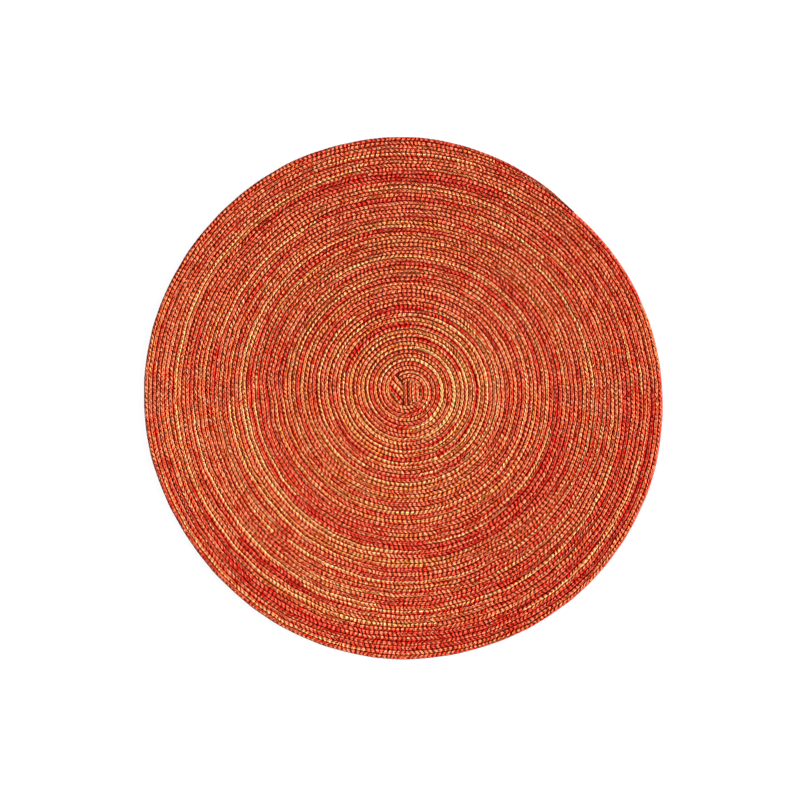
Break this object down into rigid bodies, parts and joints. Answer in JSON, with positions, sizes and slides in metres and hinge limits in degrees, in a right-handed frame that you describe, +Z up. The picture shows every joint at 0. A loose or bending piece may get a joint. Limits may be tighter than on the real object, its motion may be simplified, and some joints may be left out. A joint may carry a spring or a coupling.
{
  "type": "round placemat",
  "caption": "Round fabric placemat: a knitted tape of mixed red, coral and gold yarns wound flat into a spiral and sewn edge to edge.",
  "frame": {"origin": "centre of the underside, where the mat lies on the table", "axes": "+Z up from the table; +X to the right and +Y away, as the mat is seen from above with the tape's end at the upper right"},
  "size_m": [0.3794, 0.3816, 0.0034],
  "materials": {
    "knitted_tape": "matt knitted yarn in crimson, coral, orange, straw and olive brown, dyed in lengths so that each row changes colour along the tape, with dark red seams between the turns"
  },
  "bodies": {
    "root": {"mat": "knitted_tape"}
  },
  "joints": []
}
